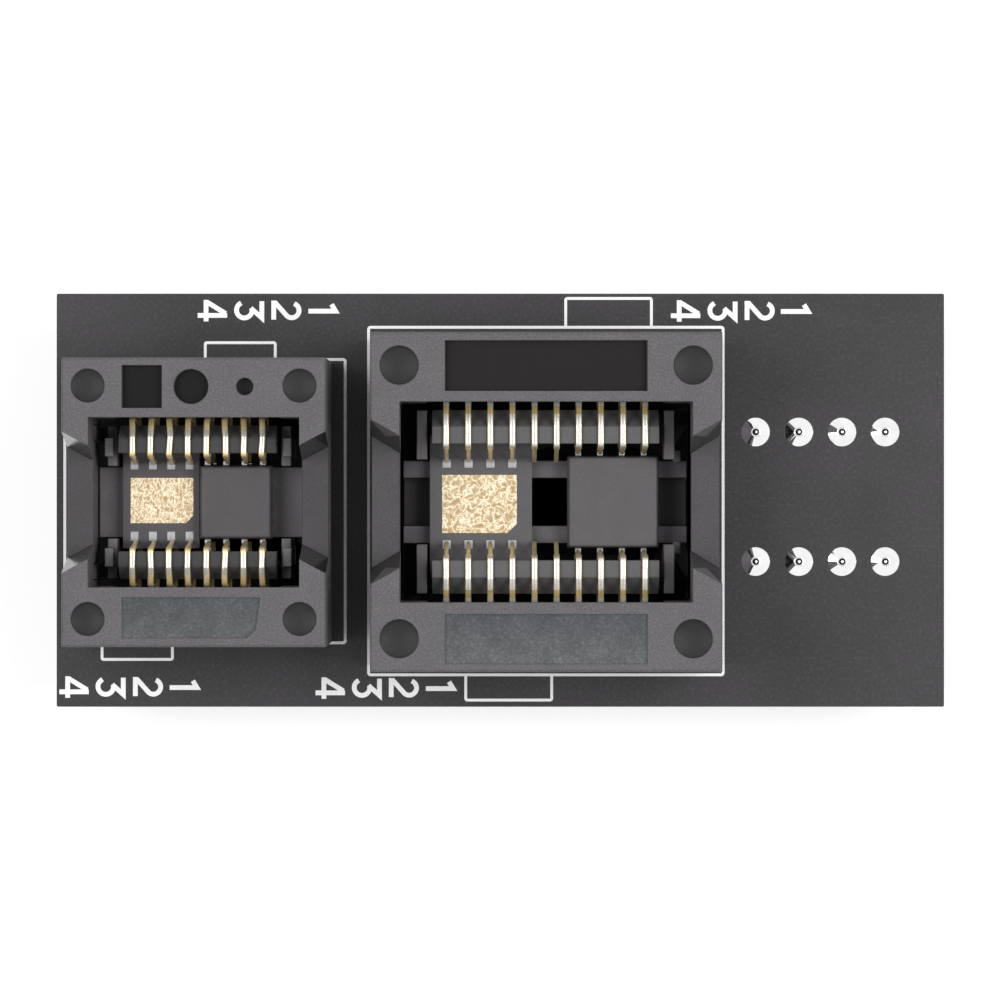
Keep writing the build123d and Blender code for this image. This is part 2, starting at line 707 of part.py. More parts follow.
def comb(s):
    """The rear bar that spaces the contacts, with its end cheeks and trunnions."""
    slope_end = COMB_TOP - COMB_SLOPE_DROP
    bar = polygon(
        (s.comb_inner_y, COMB_BOTTOM), (s.comb_outer_y, COMB_BOTTOM), (s.comb_outer_y, slope_end),
        (s.ridge_y, COMB_TOP), (s.comb_inner_y, COMB_TOP),
    )
    body = along_x(bar, -s.comb_half, s.comb_half)
    leg = polygon(
        (s.pivot_y - CHEEK_R, PIVOT_Z), (s.pivot_y + CHEEK_R, PIVOT_Z),
        (s.comb_outer_y, COMB_BOTTOM), (s.ridge_y, COMB_BOTTOM),
    )
    cheek = leg + Pos(s.pivot_y, PIVOT_Z) * few_sided(2 * CHEEK_R, ROUND_SIDES)
    trunnion = Pos(s.pivot_y, PIVOT_Z) * few_sided(TRUNNION_D, ROUND_SIDES)
    right = along_x(cheek, s.comb_half - CHEEK_T, s.comb_half)
    right += along_x(trunnion, s.comb_half, s.rib_outer_x)
    return body + [right, mirror(right, about=Plane.YZ)]


def contact(s, tip_y, tip_z):
    """One rear contact: heel at the pivot, lever out under the frame, arm over the comb to the tip."""
    skin = COMB_SKIN_GAP + CONTACT_T / 2
    pivot = (s.pivot_y, PIVOT_Z)
    elbow_y = s.comb_outer_y + s.elbow_out
    arm = [
        pivot,
        (elbow_y, KNEE_Z),
        (elbow_y, COMB_TOP + skin - ELBOW_DROP),
        (s.ridge_y + skin / 2, COMB_TOP + skin),
        (s.comb_inner_y - skin, COMB_TOP + skin),
        (tip_y, tip_z + TIP_GAP),
    ]
    lever_y = s.lever_end_y - s.pivot_y
    bend = (
        s.pivot_y + LEVER_BEND_SHARE * lever_y,
        PIVOT_Z + LEVER_BEND_SHARE * (LEVER_END_Z - PIVOT_Z) - LEVER_BEND_DROP,
    )
    lever = [pivot, bend, (s.lever_end_y, LEVER_END_Z)]
    face = strip(arm, CONTACT_T) + strip(lever, CONTACT_T)
    face += Pos(*pivot) * few_sided(2 * HEEL_R, HEEL_SIDES)
    shoulder_y = s.comb_inner_y - CONTACT_SHOULDER
    wide = face - span(0, shoulder_y, 0, FRAME_TOP)
    solid = along_x(wide, -s.contact_w / 2, s.contact_w / 2)
    return solid + along_x(face, -CONTACT_NOSE_W / 2, CONTACT_NOSE_W / 2)


def contacts(s):
    """A row of rear contacts: four on the leadless chip's pads, four on the leads, any others free."""
    pad_top = SEAT_TOP + LEADLESS_T + PAD_RAISE
    lead_top = SEAT_TOP + LEADED_T / 2 + LEAD_T / 2
    on_pads = contact(s, s.pads_tip_y, pad_top)
    on_leads = contact(s, s.leads_tip_y, lead_top)
    free = s.contacts - 4
    return [Pos(x, 0, 0) * (on_pads if i < free else on_leads) for i, x in enumerate(s.contact_xs)]


def feet(s):
    """The fixed lower ends of a rear row: a foot on the base floor and a tail through the board."""
    solids = []
    for x, y in s.tail_spots:
        x0, x1 = x - s.contact_w / 2, x + s.contact_w / 2
        foot = upright(span(x0, x1, y - TAIL_T / 2, s.pivot_y + FOOT_HALF), BASE_FLOOR, BASE_FLOOR + FOOT_T)
        tail_end = -BOARD_T - TAIL_BELOW_BOARD
        tail = upright(span(x0, x1, y - TAIL_T / 2, y + TAIL_T / 2), tail_end, BASE_FLOOR)
        solids.append(foot + tail)
    return solids


def tail_solder(s):
    """A cone of solder round each tail, under the board."""
    lean = math.degrees(math.atan2(TAIL_SOLDER_D / 2 - TAIL_SOLDER_TIP_D / 2, TAIL_SOLDER_H))
    cone = extrude(few_sided(TAIL_SOLDER_D, SMALL_ROUND_SIDES), TAIL_SOLDER_H, taper=lean)
    cone -= upright(Rectangle(s.contact_w, TAIL_T), 0, TAIL_SOLDER_H)
    cone = mirror(cone, about=Plane.XY)
    return [Pos(x, y, -BOARD_T) * cone for x, y in s.tail_spots]


def springs(s):
    """The return springs, their coils drawn as short straight runs of wire."""
    z0 = BASE_FLOOR + SPRING_WIRE / 2 + SPRING_END_GAP
    z1 = SPRING_BORE_TOP - SPRING_WIRE / 2 - SPRING_END_GAP
    runs = SPRING_TURNS * SPRING_RUNS_PER_TURN
    radius = (SPRING_D - SPRING_WIRE) / 2
    points = []
    for k in range(runs + 1):
        turn = 2 * math.pi * k / SPRING_RUNS_PER_TURN
        points.append((radius * math.cos(turn), radius * math.sin(turn), (z1 - z0) * k / runs))
    path = Polyline(*points)
    section = Plane(origin=path @ 0, z_dir=path % 0) * Rectangle(SPRING_WIRE, SPRING_WIRE)
    coil = sweep(section, path=path, transition=Transition.RIGHT)
    return [Pos(x, y, z0) * coil for x, y in s.spring_spots]


def leadless_body(s):
    """A flat chip lying pad side up, with the beds of its pads cut out of its top face."""
    body = upright(span(*leadless_span(s)), SEAT_TOP, SEAT_TOP + LEADLESS_T)
    body -= upright(Sketch() + leadless_pad_plans(s), leadless_pad_z(), SEAT_TOP + LEADLESS_T)
    return body - upright(thermal_plan(s), leadless_pad_z(), SEAT_TOP + LEADLESS_T)


def leadless_span(s):
    half_w, half_l = s.leadless_w / 2, s.leadless_l / 2
    return (s.leadless_x - half_w, s.leadless_x + half_w, s.leadless_y - half_l, s.leadless_y + half_l)


def leadless_pad_z():
    return SEAT_TOP + LEADLESS_T - PAD_T


def leadless_pad_plans(s):
    half = s.pad_w / 2
    rear = [span(x - half, x + half, s.pad_inner_y, s.pad_outer_y) for x in s.pad_xs]
    return [Pos(0, s.leadless_y) * pad for pad in rear + [mirror(pad, about=Plane.XZ) for pad in rear]]


def leadless_pads(s):
    top = SEAT_TOP + LEADLESS_T + PAD_RAISE
    return [upright(plan, leadless_pad_z(), top) for plan in leadless_pad_plans(s)]


def thermal_plan(s):
    """The wide pad in the middle, with one corner cut to mark the first pin."""
    w, l, cut = s.thermal_w / 2, s.thermal_l / 2, s.thermal_cut
    middle = sum(s.pad_xs) / len(s.pad_xs)
    corners = [(-w, -l), (w - cut, -l), (w, -l + cut), (w, l), (-w, l)]
    return polygon(*[(middle + x, s.leadless_y + y) for x, y in corners])


def leadless_thermal_pad(s):
    return upright(thermal_plan(s), leadless_pad_z(), SEAT_TOP + LEADLESS_T + PAD_RAISE)


def leaded_body(s):
    """A moulded chip body: drafted both ways from the plane of its leads, with a bevelled top edge."""
    middle = SEAT_TOP + LEADED_T / 2
    plan = Plane.XY.offset(middle) * Pos(s.leaded_x, 0) * Rectangle(s.leaded_w, s.leaded_l)
    lower = mirror(extrude(plan, LEADED_T / 2, taper=LEADED_DRAFT), about=Plane.XY.offset(middle))
    upper = extrude(plan, LEADED_T / 2 - LEADED_EDGE, taper=LEADED_DRAFT)
    rim = upper.faces().sort_by(Axis.Z)[-1]
    return lower + upper + extrude(rim, LEADED_EDGE, taper=LEADED_EDGE_LEAN)


def leaded_leads(s):
    """Gull-wing leads: out of the body, down and out again to a flat foot."""
    middle = SEAT_TOP + LEADED_T / 2
    foot_z = SEAT_TOP - LEAD_STANDOFF + LEAD_T / 2
    body_y = s.leaded_l / 2
    path = [
        (body_y, middle), (body_y + LEAD_SHOULDER, middle),
        (s.lead_span / 2 - LEAD_FOOT, foot_z), (s.lead_span / 2, foot_z),
    ]
    lead = along_x(strip(path, LEAD_T), -LEAD_W / 2, LEAD_W / 2)
    rear = [Pos(x, 0, 0) * lead for x in s.lead_xs]
    return rear + [mirror(one, about=Plane.XZ) for one in rear]


def front(solids):
    return [mirror(one, about=Plane.XZ) for one in solids]


def as_list(made):
    return list(made) if isinstance(made, (list, tuple)) else [made]


def socket_nodes(s):
    rear = {
        "comb": as_list(comb(s)),
        "contacts": contacts(s),
        "feet": feet(s),
        "tail_solder": tail_solder(s),
    }
    nodes = {
        "base": base(s),
        "frame": frame(s),
        "springs": springs(s),
        "leadless_chip": leadless_body(s),
        "leadless_pads": leadless_pads(s),
        "leadless_thermal_pad": leadless_thermal_pad(s),
        "leaded_chip": leaded_body(s),
        "leaded_leads": leaded_leads(s),
    }
    nodes.update({f"rear_{name}": solids for name, solids in rear.items()})
    nodes.update({f"front_{name}": front(solids) for name, solids in rear.items()})
    here = Pos(s.x, s.y, BOARD_TOP)
    return {f"{s.name}_{name}": [here * one for one in as_list(made)] for name, made in nodes.items()}


def all_nodes():
    nodes = {"circuit_board": as_list(circuit_board())}
    for name, side in (("rear", 1), ("front", -1)):
        nodes[f"header_{name}_insulator"] = as_list(header_insulator(side))
        nodes[f"header_{name}_pins"] = header_pins(side)
        nodes[f"header_{name}_solder"] = header_solder(side)
    for s in (LARGE, SMALL):
        nodes.update(socket_nodes(s))
    return nodes


def row_opening(s):
    """How far a row turns, in degrees, when the frame's skirt presses its levers down by the travel."""
    out = s.lever_end_y - s.pivot_y
    up = LEVER_END_Z - PIVOT_Z
    reach = math.hypot(out, up)
    return math.degrees(math.atan2(up, out) - math.asin((up - s.travel) / reach))


os.makedirs("parts", exist_ok=True)
for name, solids in all_nodes().items():
    export_step(Compound(children=[one for made in solids for one in made.solids()]), f"parts/{name}.step")
for s in (LARGE, SMALL):
    print(s.name, "pivot y", round(s.pivot_y, 4), "opening", round(row_opening(s), 3), "degrees")
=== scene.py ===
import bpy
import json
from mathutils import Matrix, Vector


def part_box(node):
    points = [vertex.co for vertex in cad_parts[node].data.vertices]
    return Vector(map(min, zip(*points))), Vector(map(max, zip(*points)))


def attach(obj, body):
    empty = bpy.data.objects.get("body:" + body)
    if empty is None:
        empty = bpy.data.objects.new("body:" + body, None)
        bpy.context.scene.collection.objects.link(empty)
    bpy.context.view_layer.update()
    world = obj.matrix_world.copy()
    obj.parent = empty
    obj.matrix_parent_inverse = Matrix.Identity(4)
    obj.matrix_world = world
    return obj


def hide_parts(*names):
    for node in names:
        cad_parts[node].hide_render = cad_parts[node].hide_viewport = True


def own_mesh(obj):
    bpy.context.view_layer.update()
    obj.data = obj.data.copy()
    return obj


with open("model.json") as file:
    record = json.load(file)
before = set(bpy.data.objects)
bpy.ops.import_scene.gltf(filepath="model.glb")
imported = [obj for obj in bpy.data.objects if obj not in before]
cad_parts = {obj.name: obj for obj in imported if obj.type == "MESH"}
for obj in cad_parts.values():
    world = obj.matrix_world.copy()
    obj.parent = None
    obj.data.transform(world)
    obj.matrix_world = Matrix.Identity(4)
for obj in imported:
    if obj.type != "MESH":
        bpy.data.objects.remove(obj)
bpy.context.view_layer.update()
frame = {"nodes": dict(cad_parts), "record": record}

import json
import math

import bmesh
import bpy
from mathutils import Vector, noise

# Chip programmer adapter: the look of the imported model. The scene is in metres. Values below are in
# millimetres and are multiplied by MM: along X and Y from the frame's origin, or from a socket's
# middle, and upwards from the board's top where nothing else is said.
MM = 0.001
scene = bpy.context.scene
BOARD_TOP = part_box("circuit_board")[1].z
BOARD_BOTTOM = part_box("circuit_board")[0].z


# Colours and node helpers

def linear(r, g, b):
    """Screen values from 0 to 255 as the shader's linear colour."""
    values = []
    for c in (r / 255, g / 255, b / 255):
        values.append(c / 12.92 if c <= 0.04045 else ((c + 0.055) / 1.055) ** 2.4)
    return (*values, 1.0)


def shade(colour, factor):
    return (*[min(1.0, c * factor) for c in colour[:3]], 1.0)


class Surface:
    """A material under construction: its shader and the object's own coordinates."""

    def __init__(self, name, metallic=0.0, roughness=0.5, specular=0.5):
        self.material = bpy.data.materials.new(name)
        self.material.use_nodes = True
        self.nodes = self.material.node_tree.nodes
        self.links = self.material.node_tree.links
        self.shader = self.nodes["Principled BSDF"]
        self.shader.inputs["Metallic"].default_value = metallic
        self.shader.inputs["Roughness"].default_value = roughness
        self.shader.inputs["Specular IOR Level"].default_value = specular
        self.place = self.nodes.new("ShaderNodeTexCoord").outputs["Object"]

    def stretched(self, x, y, z):
        node = self.nodes.new("ShaderNodeMapping")
        node.inputs["Scale"].default_value = (x, y, z)
        self.links.new(self.place, node.inputs["Vector"])
        return node.outputs["Vector"]

    def grain(self, per_mm, detail=2.0, place=None, distortion=0.0):
        node = self.nodes.new("ShaderNodeTexNoise")
        node.inputs["Scale"].default_value = per_mm / MM
        node.inputs["Detail"].default_value = detail
        node.inputs["Distortion"].default_value = distortion
        self.links.new(place or self.place, node.inputs["Vector"])
        return node.outputs["Fac"]

    def ramp(self, value, *stops):
        node = self.nodes.new("ShaderNodeValToRGB")
        elements = node.color_ramp.elements
        elements[0].position, elements[0].color = stops[0]
        elements[1].position, elements[1].color = stops[-1]
        for position, colour in stops[1:-1]:
            elements.new(position).color = colour
        self.links.new(value, node.inputs["Fac"])
        return node.outputs["Color"]

    def between(self, value, low, high, start=0.3, end=0.7):
        node = self.nodes.new("ShaderNodeMapRange")
        node.inputs["From Min"].default_value = start
        node.inputs["From Max"].default_value = end
        node.inputs["To Min"].default_value = low
        node.inputs["To Max"].default_value = high
        self.links.new(value, node.inputs["Value"])
        return node.outputs["Result"]

    def times(self, first, second):
        node = self.nodes.new("ShaderNodeMix")
        node.data_type = "RGBA"
        node.blend_type = "MULTIPLY"
        node.inputs["Factor"].default_value = 1.0
        self.links.new(first, node.inputs[6])
        self.links.new(second, node.inputs[7])
        return node.outputs[2]

    def colour(self, output):
        self.links.new(output, self.shader.inputs["Base Color"])

    def roughness(self, output):
        self.links.new(output, self.shader.inputs["Roughness"])

    def relief(self, height, depth_mm, strength=1.0, under=None):
        node = self.nodes.new("ShaderNodeBump")
        node.inputs["Distance"].default_value = depth_mm * MM
        node.inputs["Strength"].default_value = strength
        self.links.new(height, node.inputs["Height"])
        if under is not None:
            self.links.new(under, node.inputs["Normal"])
        self.links.new(node.outputs["Normal"], self.shader.inputs["Normal"])
        return node.outputs["Normal"]


def plastic(name, colour, speck, relief_mm, rough, per_mm=9.0, mottle=0.12, mottle_per_mm=0.5,
            specular=0.2, shade_fade=None):
    """
    Moulded plastic: fine spark-eroded grain, light specks and broad uneven tone. shade_fade is (start Y, end
    Y, tint), in millimetres, and paints shade along Y: the whole tint at the start, and none at the end.
    """
    s = Surface(name, specular=specular)
    fine = s.grain(per_mm, 3.0)
    dark, light = shade(colour, 1 - speck), shade(colour, 1 + 2 * speck)
    base = s.ramp(fine, (0.3, dark), (0.55, colour), (0.78, light))
    broad = s.grain(mottle_per_mm, 4.0)
    tone = s.ramp(broad, (0.3, (1 - mottle,) * 3 + (1,)), (0.7, (1, 1, 1, 1)))
    if shade_fade:
        start_y, end_y, tint = shade_fade
        parts = s.nodes.new("ShaderNodeSeparateXYZ")
        s.links.new(s.place, parts.inputs["Vector"])
        share = s.between(parts.outputs["Y"], 0.0, 1.0, start_y * MM, end_y * MM)
        tone = s.times(tone, s.ramp(share, (0.0, (*tint, 1)), (1.0, (1, 1, 1, 1))))
    s.colour(s.times(base, tone))
    s.roughness(s.between(fine, rough[0], rough[1]))
    s.relief(fine, relief_mm)
    return s.material


def metal(name, dark, light, rough, metallic=1.0, relief_mm=0.004, per_mm=6.0, stretch=(1, 1, 1)):
    """Plated or drawn metal: fine marks and a tone that wanders between dark and light."""
    s = Surface(name, metallic=metallic)
    place = s.stretched(*stretch)
    fine = s.grain(per_mm, 3.0, place)
    broad = s.grain(1.3, 2.0)
    s.colour(s.ramp(broad, (0.3, dark), (0.7, light)))
    s.roughness(s.between(fine, rough[0], rough[1]))
    s.relief(fine, relief_mm)
    return s.material


def board_mask():
    """The board's solder mask: fine specks, a broad uneven tone and a faint weave below."""
    s = Surface("board_lacquer", specular=0.15)
    fine = s.grain(5.0, 4.0)
    broad = s.grain(0.12, 3.0)
    base = linear(67, 65, 67)
    speck = s.ramp(fine, (0.25, shade(base, 0.86)), (0.55, base), (0.8, shade(base, 1.5)))
    tone = s.ramp(broad, (0.35, (0.8, 0.82, 0.8, 1)), (0.65, (1, 1, 1, 1)))
    s.colour(s.times(speck, tone))
    s.roughness(s.between(fine, 0.34, 0.42))
    weave = s.grain(1.1, 2.0)
    under = s.relief(weave, 0.006, 0.5)
    s.relief(fine, 0.004, 1.0, under)
    return s.material


def laminate():
    """The board's cut edge: glass weave in resin, in layers."""
    s = Surface("board_laminate", roughness=0.6)
    layers = s.grain(3.0, 3.0, s.stretched(0.35, 0.35, 4.0))
    dark, pale, middle = linear(58, 56, 44), linear(92, 88, 66), linear(70, 68, 52)
    s.colour(s.ramp(layers, (0.35, dark), (0.5, pale), (0.62, middle)))
    s.relief(layers, 0.02)
    return s.material


def ink():
    s = Surface("print_white", roughness=0.55, specular=0.35)
    fine = s.grain(8.0, 3.0)
    s.colour(s.ramp(fine, (0.3, linear(244, 244, 244)), (0.6, linear(253, 252, 253))))
    s.relief(fine, 0.003)
    return s.material


def crinkled_gold(name, per_mm, stretch):
    """The leadless chip's wide pad: plated gold crinkled into a net of fine pale veins."""
    s = Surface(name, metallic=0.3, roughness=0.42, specular=0.3)
    place = s.stretched(*stretch)
    folds = s.grain(per_mm, 3.0, place, 0.6)
    low, middle = linear(165, 138, 99), linear(197, 176, 139)
    slope, crest = linear(230, 212, 181), linear(254, 246, 228)
    veins = s.ramp(folds, (0.3, low), (0.43, middle), (0.475, slope), (0.5, crest), (0.525, slope),
                   (0.57, middle), (0.74, low))
    pits = s.ramp(s.grain(3.2 * per_mm, 2.0, place), (0.3, (0.86, 0.84, 0.8, 1)), (0.55, (1, 1, 1, 1)))
    s.colour(s.times(veins, pits))
    s.relief(folds, 0.03, 0.6)
    return s.material


BOARD = board_mask()
LAMINATE = laminate()
INK = ink()

# The frames: their tops, then darker copies of the frame plastic on the recesses, dimples, notches and notch
# walls, which paint shade
FRAME = plastic("frame_plastic", linear(97, 95, 97), speck=0.24, relief_mm=0.016, rough=(0.42, 0.6))
# The label recesses: a dark plastic that paints shade, darker still in the small socket.
FRAME_LABEL_SHADE = plastic("frame_plastic_label_shade", linear(33, 30, 31), speck=0.05, relief_mm=0.003,
                      rough=(0.38, 0.45), mottle=0.05, specular=0.1)
FRAME_LABEL_DEEP_SHADE = plastic("frame_plastic_label_deep_shade", linear(26, 24, 25), speck=0.05, relief_mm=0.003,
                           rough=(0.38, 0.45), mottle=0.05, specular=0.08)
# The dimples' floors: a dark plastic that paints shade.
FRAME_DIMPLE_SHADE = plastic("frame_plastic_dimple_shade", linear(41, 39, 41), speck=0.1, relief_mm=0.006,
                       rough=(0.4, 0.5), mottle=0.1)
# The notch floors: a darker plastic that paints shade, darker still in the small socket.
FRAME_NOTCH_SHADE = plastic("frame_plastic_notch_shade", linear(76, 74, 76), speck=0.2, relief_mm=0.012,
                      rough=(0.42, 0.6))
FRAME_NOTCH_DEEP_SHADE = plastic("frame_plastic_notch_deep_shade", linear(70, 68, 70), speck=0.2, relief_mm=0.012,
                           rough=(0.42, 0.6))
# The notch walls: a dark plastic that paints shade, glossy in the small socket and matt in the large.
FRAME_STEEP_SHADE = plastic("frame_plastic_steep_shade", linear(50, 48, 50), speck=0.08, relief_mm=0.001,
                      rough=(0.16, 0.22), mottle=0.06, specular=0.9)
FRAME_STEEP_MATT_SHADE = plastic("frame_plastic_steep_matt_shade", linear(56, 54, 56), speck=0.08, relief_mm=0.003,
                           rough=(0.4, 0.5), mottle=0.06)
COARSE = dict(speck=0.3, relief_mm=0.04, rough=(0.45, 0.7), per_mm=6.5, mottle=0.26, mottle_per_mm=0.8)
# The textured recesses: a real coarse grain, with shade painted in as a bluish darkening that fades along Y;
# the small socket's copy is darker all over, also painted shade.
FRAME_TEXTURED = plastic("frame_plastic_textured", linear(100, 101, 103), **COARSE,
                         shade_fade=(-6.5, -9.3, (0.64, 0.68, 0.71)))
FRAME_TEXTURED_DEEPER_SHADE = plastic("frame_plastic_textured_deeper_shade", linear(95, 96, 97), **COARSE,
                             shade_fade=(-5.5, -7.9, (0.66, 0.72, 0.75)))

# The bases: their walls, a paler copy on the small base that paints light, and darker copies on the rib tops
# and on levels further and further down that paint shade
MOULDED = dict(speck=0.12, relief_mm=0.008, rough=(0.45, 0.6), mottle=0.16, mottle_per_mm=0.9)
BASE = plastic("base_plastic", linear(101, 97, 101), **MOULDED)
# The small base all over: a paler copy that paints light.
BASE_PAINTED_LIGHT = plastic("base_plastic_painted_light", linear(111, 108, 111), **MOULDED)
# Rib tops, lower levels, floor and well: darker and darker copies that paint shade.
BASE_RIB_SHADE = plastic("base_plastic_rib_shade", linear(82, 79, 82), **MOULDED)
BASE_LOW_SHADE = plastic("base_plastic_low_shade", linear(68, 64, 67), speck=0.1, relief_mm=0.008,
                   rough=(0.45, 0.6), mottle=0.2, mottle_per_mm=0.9)
BASE_FLOOR_SHADE = plastic("base_plastic_floor_shade", linear(34, 32, 33), speck=0.1, relief_mm=0.008, rough=(0.5, 0.6))
BASE_DEEP_SHADE = plastic("base_plastic_deep_shade", linear(20, 19, 20), speck=0.1, relief_mm=0.008, rough=(0.5, 0.6),
                    specular=0.05)

SMOOTH = dict(speck=0.08, relief_mm=0.006, rough=(0.38, 0.5), mottle=0.08)
COMB = plastic("comb_plastic", linear(95, 94, 95), **SMOOTH)
# A darker copy for the small combs' level faces: painted shade.
COMB_SHADE = plastic("comb_plastic_shade", linear(64, 63, 64), **SMOOTH)
COMPOUND = dict(speck=0.1, relief_mm=0.007, rough=(0.42, 0.58), per_mm=12.0, mottle=0.1, mottle_per_mm=0.6)
CHIP = plastic("chip_mould", linear(92, 90, 92), **COMPOUND)
# A darker copy for the small socket's chips: painted shade.
CHIP_SHADE = plastic("chip_mould_shade", linear(84, 81, 84), **COMPOUND)
HEADER = plastic("header_plastic", linear(30, 30, 31), speck=0.1, relief_mm=0.006, rough=(0.4, 0.5))
# The dark ring round each pin's end: painted shade of the crevice between pin and solder.
PIN_RING_SHADE = plastic("pin_ring_shade", linear(34, 32, 31), speck=0.1, relief_mm=0.002, rough=(0.4, 0.5), specular=0.1)

STRIP = dict(relief_mm=0.0008, stretch=(3, 0.4, 0.4))
GOLD = metal("contact_gold", linear(214, 187, 132), linear(238, 218, 170), rough=(0.26, 0.36),
             metallic=0.4, **STRIP)
# A paler, whitish gold along the top of the contacts' level run and by the elbow: painted highlight.
GOLD_HIGHLIGHT = metal("contact_gold_highlight", linear(196, 193, 187), linear(208, 206, 203), rough=(0.24, 0.32),
                  metallic=0.5, **STRIP)
# A darker, browner gold by the large window's edge and on the feet: painted shade.
GOLD_SHADE = metal("contact_gold_shade", linear(150, 130, 80), linear(184, 162, 108), rough=(0.36, 0.46),
                  metallic=0.35, **STRIP)
SPRING = metal("spring_steel", linear(150, 150, 152), linear(190, 190, 192), rough=(0.25, 0.4))
TIN = metal("pad_tin", linear(184, 184, 190), linear(202, 202, 208), rough=(0.4, 0.5), metallic=0.35,
            relief_mm=0.001)
TIN_DULL = metal("pad_tin_dull", linear(158, 158, 164), linear(172, 172, 178), rough=(0.45, 0.55),
                 metallic=0.25, relief_mm=0.001)
PIN = metal("pin_metal", linear(214, 208, 196), linear(238, 235, 228), rough=(0.14, 0.24), relief_mm=0.0005)
SOLDER = metal("solder", linear(240, 240, 241), linear(250, 250, 250), rough=(0.03, 0.07),
               relief_mm=0.0003, per_mm=2.0)
THERMAL = crinkled_gold("thermal_gold", 2.6, (1.0, 1.0, 1.0))
THERMAL_FINE = crinkled_gold("thermal_gold_fine", 4.4, (1.0, 0.7, 1.0))

SLOT_MATERIAL = {
    "board_lacquer": BOARD, "header_plastic": HEADER, "pin_metal": PIN, "solder": SOLDER,
    "base_plastic": BASE, "comb_plastic": COMB, "frame_plastic": FRAME, "contact_gold": GOLD,
    "spring_steel": SPRING, "chip_mould": CHIP, "pad_tin": TIN, "thermal_gold": THERMAL,
}
NODE_SLOT = {part["node"]: part["material_slot"] for part in frame["record"]["subparts"]}
for name, node in frame["nodes"].items():
    node.data.materials.clear()
    node.data.materials.append(SLOT_MATERIAL[NODE_SLOT[name]])


# Piece helpers

SAME_POINT = 1e-6
FLAT_DEGREES = 0.5
EDGE_DEGREES = 35
BEVEL_SEGMENTS = 2
OWN_NORMAL_WEIGHT = 90


def body_of(node):
    for body, nodes in frame["record"]["behaviour"]["bodies"].items():
        if node in nodes:
            return body
    raise ValueError(node)


def finish_piece(name, bm, body, materials, replaced=()):
    mesh = bpy.data.meshes.new(name)
    bmesh.ops.recalc_face_normals(bm, faces=bm.faces)
    bm.to_mesh(mesh)
    bm.free()
    for material in materials:
        mesh.materials.append(material)
    piece = bpy.data.objects.new(name, mesh)
    scene.collection.objects.link(piece)
    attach(piece, body)
    if replaced:
        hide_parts(*replaced)
    return piece


def smooth(piece, angle):
    piece.data.shade_smooth()
    piece.data.set_sharp_from_angle(angle=math.radians(angle))


def keep_faces_flat(piece):
    """Large faces keep their own normal, and the narrow ones beside them take up the turn."""
    normals = piece.modifiers.new("normals", "WEIGHTED_NORMAL")
    normals.weight = OWN_NORMAL_WEIGHT
    normals.keep_sharp = True


def copy_of(node, patches=(), join_flats=True):
    """
    A copy of a CAD node that takes its place. A patch is (test, material), and its test gets a face's middle
    and normal. The last patch that fits a face gives its material.
    """
    bm = bmesh.new()
    bm.from_mesh(frame["nodes"][node].data)
    bmesh.ops.remove_doubles(bm, verts=bm.verts, dist=SAME_POINT)
    if join_flats:
        bmesh.ops.dissolve_limit(bm, angle_limit=math.radians(FLAT_DEGREES), verts=bm.verts, edges=bm.edges)
    for index, (test, material) in enumerate(patches, 1):
        for face in bm.faces:
            if test(face.calc_center_median(), face.normal):
                face.material_index = index
    materials = [SLOT_MATERIAL[NODE_SLOT[node]]] + [material for test, material in patches]
    return finish_piece(node + "_soft", bm, body_of(node), materials, [node])


def soften(node, width_mm, patches=()):
    """A copy of a CAD node with rounded edges."""
    piece = copy_of(node, patches)
    piece.data.shade_smooth()
    bevel = piece.modifiers.new("edges", "BEVEL")
    bevel.width = width_mm * MM
    bevel.segments = BEVEL_SEGMENTS
    bevel.limit_method = "ANGLE"
    bevel.angle_limit = math.radians(EDGE_DEGREES)
    bevel.use_clamp_overlap = False
    keep_faces_flat(piece)
    return piece


def revolve(bm, profile, x, y, z, sides, lumps=0.0, seed=0):
    """
    A round body about an upright axis. Its profile holds (radius, height) in millimetres from z, and
    x, y and z are in metres. lumps is how much the radius wavers.
    """
    rings = []
    for r, h in profile:
        ring = []
        for k in range(sides):
            a = 2 * math.pi * k / sides
            wave = noise.noise(Vector((math.cos(a) * 1.3 + seed * 7.1, math.sin(a) * 1.3, h * 0.8)))
            radius = r * (1 + lumps * wave) * MM
            ring.append(bm.verts.new((x + radius * math.cos(a), y + radius * math.sin(a), z + h * MM)))
        rings.append(ring)
    for low, high in zip(rings, rings[1:]):
        for k in range(sides):
            bm.faces.new((low[k], low[(k + 1) % sides], high[(k + 1) % sides], high[k]))
    bm.faces.new(list(reversed(rings[0])))
    bm.faces.new(rings[-1])


def flat_strip(bm, points, width_mm, top_mm):
    """A printed line: its centre line in plan, in millimetres, given a width and a hair's height."""
    runs = [(Vector(b) - Vector(a)).normalized() for a, b in zip(points, points[1:])]
    closed = points[0] == points[-1]
    befores = ([runs[-1]] if closed else runs[:1]) + runs
    afters = runs + ([runs[0]] if closed else runs[-1:])
    sides = []
    for point, before, after in zip(points, befores, afters):
        middle = (before + after).normalized()
        across = Vector((-middle.y, middle.x)) * (width_mm / 2 / max(0.3, middle.dot(after)))
        corners = []
        for edge in (Vector(point) + across, Vector(point) - across):
            for height in (0.0, top_mm):
                corners.append(bm.verts.new((edge.x * MM, edge.y * MM, BOARD_TOP + height * MM)))
        sides.append(corners)
    for (a, b, c, d), (e, f, g, h) in zip(sides, sides[1:]):
        for face in ((b, f, h, d), (a, e, f, b), (d, h, g, c), (c, g, e, a)):
            bm.faces.new(face)
    if not closed:
        for a, b, c, d in (sides[0], sides[-1]):
            bm.faces.new((a, b, d, c))


